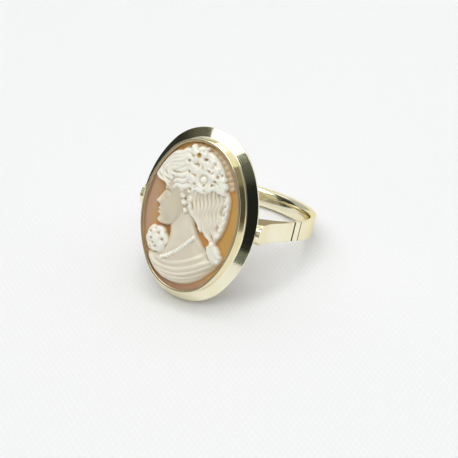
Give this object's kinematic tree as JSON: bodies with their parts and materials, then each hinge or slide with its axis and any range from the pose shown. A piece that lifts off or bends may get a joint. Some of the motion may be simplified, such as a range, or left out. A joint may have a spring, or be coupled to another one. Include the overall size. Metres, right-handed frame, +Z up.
{
  "type": "cameo ring",
  "caption": "Gold ring lying on its side, with an oval shell cameo in a plain bezel and a broad sloping flange.",
  "frame": {"origin": "centre of the finger hole, on its axis and halfway across the band", "axes": "+Z up from the surface that the ring lies on, -Y towards the side that the cameo faces, X across the cameo"},
  "size_m": [0.0188, 0.0238, 0.0186],
  "materials": {
    "gold": "polished yellow gold",
    "shell": "carved two-layer shell, softly polished"
  },
  "bodies": {
    "root": {"gold_mount": "gold", "shell_cameo": "shell"}
  },
  "joints": []
}
